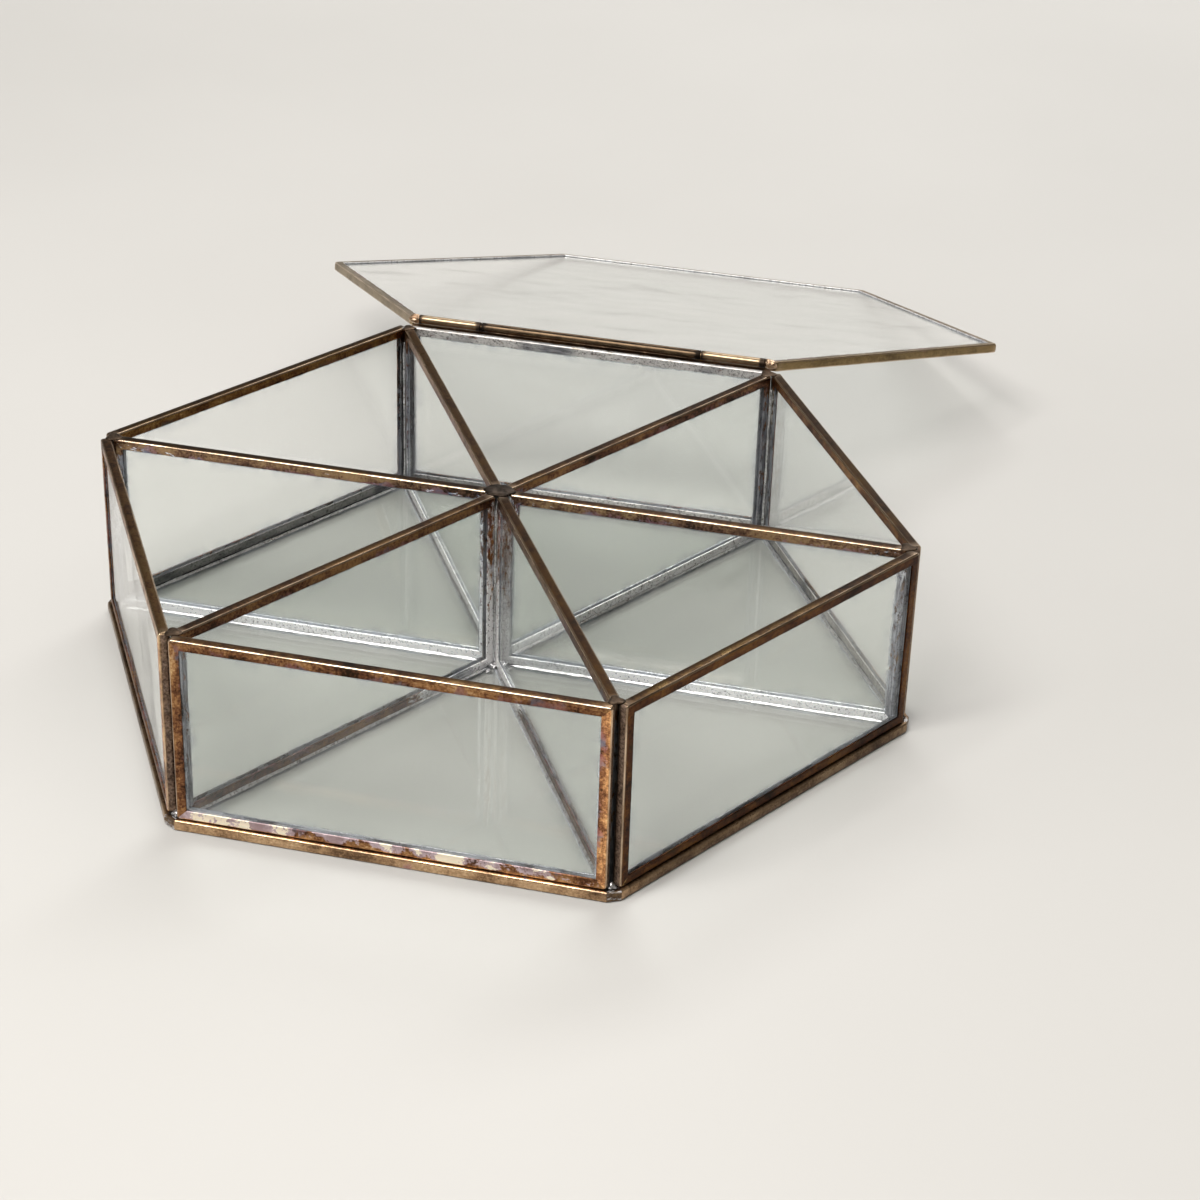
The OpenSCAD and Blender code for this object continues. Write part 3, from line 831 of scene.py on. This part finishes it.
# Tones of each strip's outer leg, inner leg and folded edge over its patina, mostly painted
# light and shade
# The folded edges and the front right wall are darkened as painted shade; other legs are
# lightened or darkened face by face
PLAIN = (1.0, 1.0, 1.0)
PAINTED_SHADE = (0.26, 0.17, 0.05)
SILVERED = (1.0, 1.25, 1.6)
PAINTED_SHADE_EDGE = (0.3, 0.3, 0.25)
DEEP_PAINTED_SHADE_EDGE = (0.16, 0.15, 0.09)
WALL_TONES_AND_PAINTED_LIGHT = {
    "back_right": (PLAIN, (1.05, 0.86, 0.44), DEEP_PAINTED_SHADE_EDGE),
    "back": (PLAIN, (0.92, 0.8, 0.74), PAINTED_SHADE_EDGE),
    "back_left": (PLAIN, (0.58, 0.52, 0.36), DEEP_PAINTED_SHADE_EDGE),
    "front_left": (PLAIN, PLAIN, PAINTED_SHADE_EDGE),
    "front": (PLAIN, PLAIN, PAINTED_SHADE_EDGE),
    "front_right": (PAINTED_SHADE, (0.8, 0.8, 0.8), DEEP_PAINTED_SHADE_EDGE),
}
DIVIDER_TONES_AND_PAINTED_LIGHT = {
    "right": (SILVERED, PLAIN, PAINTED_SHADE_EDGE),
    "back_right": (PLAIN, PLAIN, PAINTED_SHADE_EDGE),
    "back_left": (PLAIN, PLAIN, PAINTED_SHADE_EDGE),
    "left": (PLAIN, SILVERED, DEEP_PAINTED_SHADE_EDGE),
    "front_left": ((0.3, 0.24, 0.16), PLAIN, PAINTED_SHADE_EDGE),
    "front_right": (PLAIN, PLAIN, (0.22, 0.19, 0.09)),
}
BASE_TINTS = ((0.97, 1.02, 1.12),) * 3
LID_TINTS = (PLAIN,) * 3


def panel_strip(name, kind, middle, along, out, wide, low, *rest):
    """The strip of an upright pane, from the ground point of its middle plane."""
    place = Matrix((along, UP, out)).transposed().to_4x4()
    place.translation = middle + UP * (low + RIM_Z) / 2
    folded_strip(f"{name}_{kind}_strip", f"{name}_{kind}_frame",
                 Outline(rectangle(wide, RIM_Z - low), PANEL_CORNER_R), place, *rest)


for number, (name, degrees) in enumerate(WALLS.items()):
    out = direction(degrees)
    panel_strip(name, "wall", out * (WALL_OUT - CHANNEL_W / 2), direction(degrees + 90), out,
                WALL_L, WALL_Z0, wall_marks, WALL_TONES_AND_PAINTED_LIGHT[name], WALL_BRASS, "box", number + 1)
for number, (name, degrees) in enumerate(DIVIDERS.items()):
    out = direction(degrees)
    panel_strip(name, "divider", out * (HUB_R + DIVIDER_END) / 2, out, direction(degrees - 90),
                DIVIDER_END - HUB_R, FLOOR_Z, divider_marks, DIVIDER_TONES_AND_PAINTED_LIGHT[name],
                DIVIDER_BRASS, "box", number + 11)
folded_strip(
    "base_strip", "base_channel", Outline(cut_hexagon(BASE_FLATS, BASE_TIP), BASE_CORNER_R),
    Matrix.Translation((0, 0, CHANNEL_W / 2)), base_marks, BASE_TINTS, BASE_BRASS, "box", 21,
)
# The lid's corners are rounded until they lie inside the trimmed corners of the model
LID_CORNER_R = LID_TRIM / (1 / sin(SIXTH) - 1)
folded_strip(
    "lid_strip", "lid_channel", Outline(hexagon(LID_FLATS), LID_CORNER_R),
    LID_PLACE @ Matrix.Translation(LID_MIDDLE), lid_marks, LID_TINTS, LID_BRASS, "lid", 22,
)

# --- solder


class Lumps:
    """Collects hand-run lumps and beads of solder into one mesh."""

    def __init__(self):
        self.work = bmesh.new()

    def blob(self, centre, size, seed, uneven, turn=0.0, floor=-1.0, finer=3):
        """A frozen drop: a ball stretched to size, knobbly, and flat where it meets floor."""
        made = bmesh.ops.create_icosphere(self.work, subdivisions=finer, radius=1.0)["verts"]
        spin = Matrix.Rotation(radians(turn), 3, "Z")
        for v in made:
            way = v.co.normalized()
            swell = 1 + uneven * noise.noise(way * 1.3 + Vector((seed * 5.1, seed, 0)))
            swell += uneven * 0.45 * noise.noise(way * 3.4 + Vector((0, seed * 3.7, seed)))
            local = Vector([w * c for w, c in zip(way, size)]) * swell
            v.co = Vector(centre) + spin @ local
            v.co.z = max(v.co.z, floor)

    def bead(self, points, one, two, width, seed, rough=0.45):
        """A fillet of solder that fills the angle between two faces along a line."""
        last, run, rings = len(points) - 1, 0.0, []
        for i, p in enumerate(points):
            if i:
                run += (p - points[i - 1]).length
            taper = sin(min(min(i, last - i) / 3, 1.0) * pi / 2)
            wide = width * (1 + rough * waver(run, seed, 9 * MM) + 0.5 * rough *
                            waver(run, seed + 2, 2.6 * MM)) * max(taper, 0.08)
            bulge = 0.3 + 0.16 * waver(run, seed + 1, 6 * MM)
            deep = 0.12 * wide
            ring = [p - one * deep - two * deep]
            for k in range(6):
                a = k / 5
                straight = one * (wide * (1 - a)) + two * (wide * a)
                belly = (one + two) * (wide * bulge * sin(pi * a) * 0.5)
                ring.append(p + straight - (one + two) * wide * 0.18 * sin(pi * a) + belly)
            rings.append([self.work.verts.new(q) for q in ring])
        for a, b in zip(rings, rings[1:]):
            for j in range(len(a)):
                k = (j + 1) % len(a)
                self.work.faces.new((a[j], a[k], b[k], b[j]))
        self.work.faces.new(rings[0][::-1])
        self.work.faces.new(rings[-1])

    def puddle(self, centre, radius, height, seed, segments, rings, lobes, lobe, squeeze=1.0):
        """A low cap of solder that ran over a joint: lobed, domed, with a rounded edge."""
        work, centre, loops = self.work, Vector(centre), []
        for r in range(1, rings + 1):
            share, loop = r / rings, []
            for k in range(segments):
                a = k / segments * tau
                way = Vector((cos(a), sin(a), 0))
                edge = 1 + lobe * cos(lobes * a) + 0.1 * noise.noise(way * 2.1 + UP * seed)
                dome = (1 - share**3.2) ** 0.62 if share < 1 else 0.0
                ripple = 0.14 * noise.noise(Vector((way.x * share * 2.4, way.y * share * 2.4,
                                                    seed)))
                spread = Vector((way.x, way.y * squeeze, 0)) * radius * edge * share
                top = height * max(dome * (0.86 + ripple), 0.0)
                loop.append(work.verts.new(centre + spread + UP * top))
            loops.append(loop)
        tip = work.verts.new(centre + UP * height * 0.86)
        foot = work.verts.new(centre)
        for k in range(segments):
            n = (k + 1) % segments
            work.faces.new((tip, loops[0][k], loops[0][n]))
            for a, b in zip(loops, loops[1:]):
                work.faces.new((a[k], b[k], b[n], a[n]))
            work.faces.new((foot, loops[-1][n], loops[-1][k]))

    def piece(self, name, material, body, slot, *nodes):
        mesh = bpy.data.meshes.new(name)
        face_outward(self.work, mesh)
        new_piece(name, mesh, material, body, slot, *nodes)


def face_outward(work, mesh):
    bmesh.ops.recalc_face_normals(work, faces=work.faces)
    work.to_mesh(mesh)
    work.free()


def line(start, end, spacing):
    steps = max(2, round((end - start).length / spacing))
    return [start.lerp(end, k / steps) for k in range(steps + 1)]


FOOT_STEP, UPRIGHT_STEP = 1.5 * MM, 1.4 * MM
inside = Lumps()
bead_seeds = itertools.count(41)


def foot_bead(start, end, one, width):
    points = line(start + UP * FLOOR_Z, end + UP * FLOOR_Z, FOOT_STEP)
    inside.bead(points, one, UP, width, next(bead_seeds))


def upright_bead(corner, below_rim, one, two, width, rough):
    points = line(corner + UP * FLOOR_Z, corner + UP * (RIM_Z - below_rim), UPRIGHT_STEP)
    inside.bead(points, one, two, width, next(bead_seeds), rough)


SPOKES = [(k, degrees, direction(degrees)) for k, degrees in enumerate(DIVIDERS.values())]
# Along the foot of every divider, on both of its sides, and of every wall
for _, degrees, out in SPOKES:
    for sign in (-1, 1):
        beside = direction(degrees + 90) * sign
        foot = beside * CHANNEL_W / 2
        foot_bead(out * (HUB_R + 2.2 * MM) + foot, out * (DIVIDER_END - 1.6 * MM) + foot, beside,
                  0.55 * MM)
for degrees in WALLS.values():
    out = direction(degrees)
    reach = direction(degrees + 90) * (WALL_IN * tan(HALF_SIXTH) - 2.6 * MM)
    foot_bead(out * WALL_IN - reach, out * WALL_IN + reach, -out, 0.6 * MM)
# Upright in the six corners of the hub, and in the two beside each outer corner
for _, degrees, out in SPOKES:
    corner = direction(degrees + 30) * CHANNEL_W / 2 / sin(HALF_SIXTH)
    upright_bead(corner, 3 * MM, out, direction(degrees + 60), 0.62 * MM, 0.7)
    for sign in (-1, 1):
        corner = out * (WALL_IN / cos(HALF_SIXTH) - CHANNEL_W / 2 * tan(HALF_SIXTH))
        corner = corner + direction(degrees + 90) * sign * CHANNEL_W / 2
        upright_bead(corner, 5 * MM, -out, direction(degrees + sign * 120), 0.6 * MM, 0.75)
# Drops at the feet of the hub's corners and of the outer corners
for number, degrees, out in SPOKES:
    spot = direction(degrees + 30) * (HUB_R + 1.5 * MM) + UP * (FLOOR_Z + 0.35 * MM)
    inside.blob(spot, (1.7 * MM, 1.3 * MM, 0.95 * MM), number + 1, 0.5, degrees + 30, FLOOR_Z)
    spot = direction(degrees + 24) * (HUB_R + 4.6 * MM) + UP * FLOOR_Z
    inside.blob(spot, (1.1 * MM, 0.7 * MM, 0.55 * MM), number + 8, 0.6, degrees, FLOOR_Z)
    for sign in (-1, 1):
        beside = direction(degrees + 90) * sign * (CHANNEL_W / 2 + 0.5 * MM)
        spot = out * (DIVIDER_END - 1.9 * MM) + beside
        inside.blob(spot + UP * (FLOOR_Z + 0.3 * MM), (1.5 * MM, 0.9 * MM, 0.8 * MM),
                    number * 2 + sign + 20, 0.5, degrees + sign * 30, FLOOR_Z)
inside.piece("inner_solder", SOFT_SOLDER, "box", "soft_solder")

hub_low, hub_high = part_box("hub_cap")
hub = Lumps()
hub.puddle((0, 0, RIM_Z - 0.02 * MM), (hub_high.x - hub_low.x) / 2 * 0.9, hub_high.z - RIM_Z,
           3.0, 60, 10, 6, 0.05, 0.8)
hub.piece("hub_solder_cap", DARK_SOLDER, "box", "dark_solder", "hub_cap")

rim, sunk = Lumps(), 0.03 * MM
rim_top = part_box("rim_solder")[1].z
for number, degrees, out in SPOKES:
    rim.puddle(out * (DIVIDER_END + 0.1 * MM) + UP * (RIM_Z - sunk),
               (2.3 + 0.25 * sin(number * 2.4)) * MM, rim_top - RIM_Z + sunk,
               number * 1.7 + 5, 40, 8, 3, 0.16)
rim.piece("rim_solder_drops", RIM_SOLDER, "box", "soft_solder", "rim_solder")

grooves, groove_r = Lumps(), WALL_L + 0.1 * MM
for number, degrees, out in SPOKES:
    spot = out * (groove_r + 1.3 * MM) + UP * (CHANNEL_W + 0.35 * MM)
    grooves.blob(spot, (1.0 * MM, 0.95 * MM, 0.9 * MM), number + 31, 0.5, degrees, CHANNEL_W)
    for sign in (-1, 1):
        spot = out * (groove_r + 2.0 * MM) + direction(degrees + 90) * sign * 0.7 * MM
        grooves.blob(spot + UP * (CHANNEL_W + 0.1 * MM), (0.6 * MM, 0.5 * MM, 0.42 * MM),
                     number * 2 + sign + 50, 0.5, degrees, CHANNEL_W)
grooves.piece("groove_solder_drops", SOFT_SOLDER, "box", "soft_solder", "groove_solder")

# --- hinge


ROUND_END, BEVEL = 0.22 * MM, 0.12 * MM
BORE_R = PIN_R + 0.05 * MM
AROUND = 56


def tube(name, node, start, end, seam, place, material, body, slot, seed):
    """A length of rolled tube with a butted seam, rounded ends and its bore."""
    turns = [pi / 2 * k / 3 for k in range(4)]
    rounding = [(ROUND_END * (1 - cos(a)), TUBE_R - ROUND_END * (1 - sin(a))) for a in turns]
    steps = max(3, round((end - start) / (2.5 * MM)))
    reach = end - start - 2 * ROUND_END
    path = [(start + BEVEL, BORE_R), (start, BORE_R + BEVEL)]
    path += [(start + x, r) for x, r in rounding]
    path += [(start + ROUND_END + reach * k / steps, TUBE_R) for k in range(1, steps)]
    path += [(end - x, r) for x, r in reversed(rounding)]
    path += [(end, BORE_R + BEVEL), (end - BEVEL, BORE_R)]
    verts, strip, dark, faces = [], [], [], []
    for i, (x, r) in enumerate(path):
        following = (i + 1) % len(path)
        for k in range(AROUND):
            a, n = k / AROUND * tau, (k + 1) % AROUND
            apart = abs((a - seam + pi) % tau - pi)
            groove = 0.16 * MM * exp(-((apart / 0.1) ** 2)) * (r > PIN_R * 1.4)
            radius = r - groove - 0.01 * MM * (1 + waver(x, seed, 8 * MM)) * (r == TUBE_R)
            verts.append(place @ Vector((x, radius * cos(a), radius * sin(a))))
            strip.append((x, a * TUBE_R, seed * 0.41))
            # Darker towards the ends of the tube and along its seam
            darker = (0.9 * fade(0, 2.2 * MM, min(x - start, end - x))
                     + 0.8 * exp(-((apart / 0.2) ** 2)))
            dark.append(float(min(darker, 1.0)))
            faces.append((i * AROUND + k, i * AROUND + n, following * AROUND + n,
                          following * AROUND + k))
    mesh = bpy.data.meshes.new(name)
    mesh.from_pydata(verts, [], faces)
    add_masks(mesh, {"strip": strip, "dark": dark})
    work = bmesh.new()
    work.from_mesh(mesh)
    face_outward(work, mesh)
    weigh_normals(new_piece(name, mesh, material, body, slot, node))


tube("middle_knuckle_tube", "box_knuckle", -MIDDLE_HALF, MIDDLE_HALF, radians(118),
     AXIS_PLACE, DARK_BRASS, "box", "dark_brass", 3)
for side, name in ((-1, "left"), (1, "right")):
    a, b = sorted((side * HINGE_HALF, side * (MIDDLE_HALF + KNUCKLE_GAP)))
    tube(f"{name}_knuckle_tube", f"lid_knuckle_{name}", a, b, radians(200),
         LID_PLACE, BRIGHT_BRASS, "lid", "bright_brass", 5 + side)

# Solder that holds the middle knuckle to the wall, and the outer ones to the lid
under = Lumps()
root = Vector((0, WALL_OUT - 0.55 * MM, RIM_Z))
reach = Vector((MIDDLE_HALF - 1 * MM, 0, 0))
under.bead(line(root - reach, root + reach, FOOT_STEP), Vector((0, 1, 0)),
           Vector((0, 0.35, 0.6)).normalized(), 0.75 * MM, 91, 0.3)
under.piece("middle_knuckle_solder", RIM_SOLDER, "box", "soft_solder")

LUMP_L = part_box("hinge_end_solder")[1].x - HINGE_HALF
ends, behind = Lumps(), Lumps()
turn = LID_PLACE.to_3x3()
for side in (-1, 1):
    at = LID_PLACE @ Vector((side * (HINGE_HALF + LUMP_L * 0.42), -0.2 * MM, 0.05 * MM))
    ends.blob(at, (LUMP_L * 0.6, 1.48 * MM, 1.43 * MM), 70 + side, 0.24, finer=4)
    at = LID_PLACE @ Vector((side * (HINGE_HALF + LUMP_L * 0.4), LID_EDGE * 0.8, 0.6 * MM))
    ends.blob(at, (LUMP_L * 0.55, 1.2 * MM, 1.15 * MM), 74 + side, 0.42, finer=4)
    near, far = (Vector((side * x, LID_EDGE * 0.78, 0.55 * MM))
                 for x in (MIDDLE_HALF + 1.2 * MM, HINGE_HALF - 0.4 * MM))
    behind.bead([LID_PLACE @ p for p in line(near, far, UPRIGHT_STEP)],
                turn @ Vector((0, 0.75, 0.66)), turn @ Vector((0, -0.75, 0.66)), 0.55 * MM,
                95 + side, 0.35)
ends.piece("hinge_end_lumps", COPPERED_SOLDER, "lid", "coppered_solder", "hinge_end_solder")
behind.piece("lid_knuckle_solder", RIM_SOLDER, "lid", "soft_solder")

# --- carried-over nodes


def dress(material, *nodes):
    for node in nodes:
        mesh = frame["nodes"][node].data
        mesh.materials.clear()
        mesh.materials.append(material)


dress(sheet_glass("wall"), *(f"{name}_wall_glass" for name in WALLS))
dress(sheet_glass("divider"), *(f"{name}_divider_glass" for name in DIVIDERS))
dress(sheet_glass("floor"), "base_glass")
dress(sheet_glass("lid"), "lid_glass")
dress(pin_surface(), "hinge_pin")

# --- stage, light, camera

STAGE_FLAT, STAGE_BEND, STAGE_H, STAGE_AROUND = 2.4, 0.6, 0.1, 96


def stage_floor():
    """A pale floor that curves up far behind the object on every side."""
    path = [(STAGE_FLAT * k / 6, 0.0) for k in range(1, 7)]
    for k in range(1, 11):
        a = pi / 2 * k / 10
        path.append((STAGE_FLAT + STAGE_BEND * sin(a), STAGE_BEND * (1 - cos(a))))
    path.append((STAGE_FLAT + STAGE_BEND, STAGE_BEND + STAGE_H))
    work = bmesh.new()
    middle = work.verts.new((0, 0, 0))
    turns = [k / STAGE_AROUND * tau for k in range(STAGE_AROUND)]
    rings = [[work.verts.new((r * cos(a), r * sin(a), z)) for a in turns] for r, z in path]
    for k in range(STAGE_AROUND):
        n = (k + 1) % STAGE_AROUND
        work.faces.new((middle, rings[0][k], rings[0][n]))
        for a, b in zip(rings, rings[1:]):
            work.faces.new((a[k], b[k], b[n], a[n]))
    mesh = bpy.data.meshes.new("studio_floor")
    work.to_mesh(mesh)
    work.free()
    mesh.materials.append(floor_surface())
    mesh.polygons.foreach_set("use_smooth", [True] * len(mesh.polygons))
    new_object("studio_floor", mesh)


stage_floor()

# Each softbox: its place, what it faces, its width and height, its watts and its colour
SOFTBOXES = {
    "overhead": ((-0.27, -0.62, 1.12), (0, 0, 0.02), 0.75, 0.5, 15, (1.0, 0.97, 0.93)),
    "side": ((-1.1, -0.95, 0.55), (0, 0, 0.03), 0.5, 0.5, 3.0, (1.0, 0.98, 0.96)),
    "back_wash": ((0.2, 1.7, 1.5), (0.1, 1.8, 0.0), 2.2, 0.7, 33, (1.0, 0.99, 0.97)),
}
for name, (place, aim, wide, high, watts, colour) in SOFTBOXES.items():
    light = bpy.data.lights.new(name, "AREA")
    light.shape, light.size, light.size_y = "RECTANGLE", wide, high
    light.energy, light.color = watts, colour
    lamp = new_object(name, light)
    lamp.location = place
    lamp.rotation_euler = (Vector(aim) - Vector(place)).to_track_quat("-Z", "Y").to_euler()

SKY = ((0.0, (0.5, 0.48, 0.45)), (0.2, (0.24, 0.22, 0.19)), (0.42, (0.1, 0.085, 0.065)),
       (0.62, (0.16, 0.145, 0.12)), (0.8, (0.4, 0.385, 0.36)), (1.0, (0.62, 0.605, 0.58)))
SKY_STRENGTH = 0.9
scene.world = bpy.data.worlds.new("soft_room")
sky = Shading(scene.world)
sky_parts = sky.node("SeparateXYZ", {0: sky.coordinates.outputs["Generated"]})
sky_light = sky.node("Background", {
    "Color": sky.ramp(sky_parts.outputs["Z"], SKY), "Strength": SKY_STRENGTH,
})
sky.node("OutputWorld", {"Surface": sky_light.outputs[0]})

# The camera stands where the photograph was taken from, as its perspective shows
CAMERA_AT = Vector((0.18515, -0.67564, 0.41796))
AZIMUTH, DOWN, ROLL = radians(12.869), radians(28.672), radians(1.946)
LENS_PER_SIDE, SENSOR = 2.2835, 36.0
OFF_AXIS = (-0.0014, -0.0282)
view = bpy.data.cameras.new("camera")
view.sensor_width, view.lens = SENSOR, SENSOR * LENS_PER_SIDE
view.shift_x, view.shift_y = OFF_AXIS
view.clip_start, view.clip_end = 0.02, 20.0
camera = new_object("camera", view)
turned = (Matrix.Rotation(AZIMUTH, 4, "Z") @ Matrix.Rotation(pi / 2 - DOWN, 4, "X")
          @ Matrix.Rotation(ROLL, 4, "Z"))
camera.matrix_world = Matrix.Translation(CAMERA_AT) @ turned
scene.camera = camera

# Light passes many panes and their reflections before it dies out
cycles = scene.cycles
cycles.max_bounces = cycles.transmission_bounces = 28
cycles.transparent_max_bounces = 40
cycles.glossy_bounces = 8
cycles.diffuse_bounces = 4
cycles.caustics_reflective = cycles.caustics_refractive = False
cycles.use_denoising = True
cycles.sample_clamp_indirect = 6.0
scene.view_settings.view_transform = "Standard"
scene.view_settings.exposure = 0.0
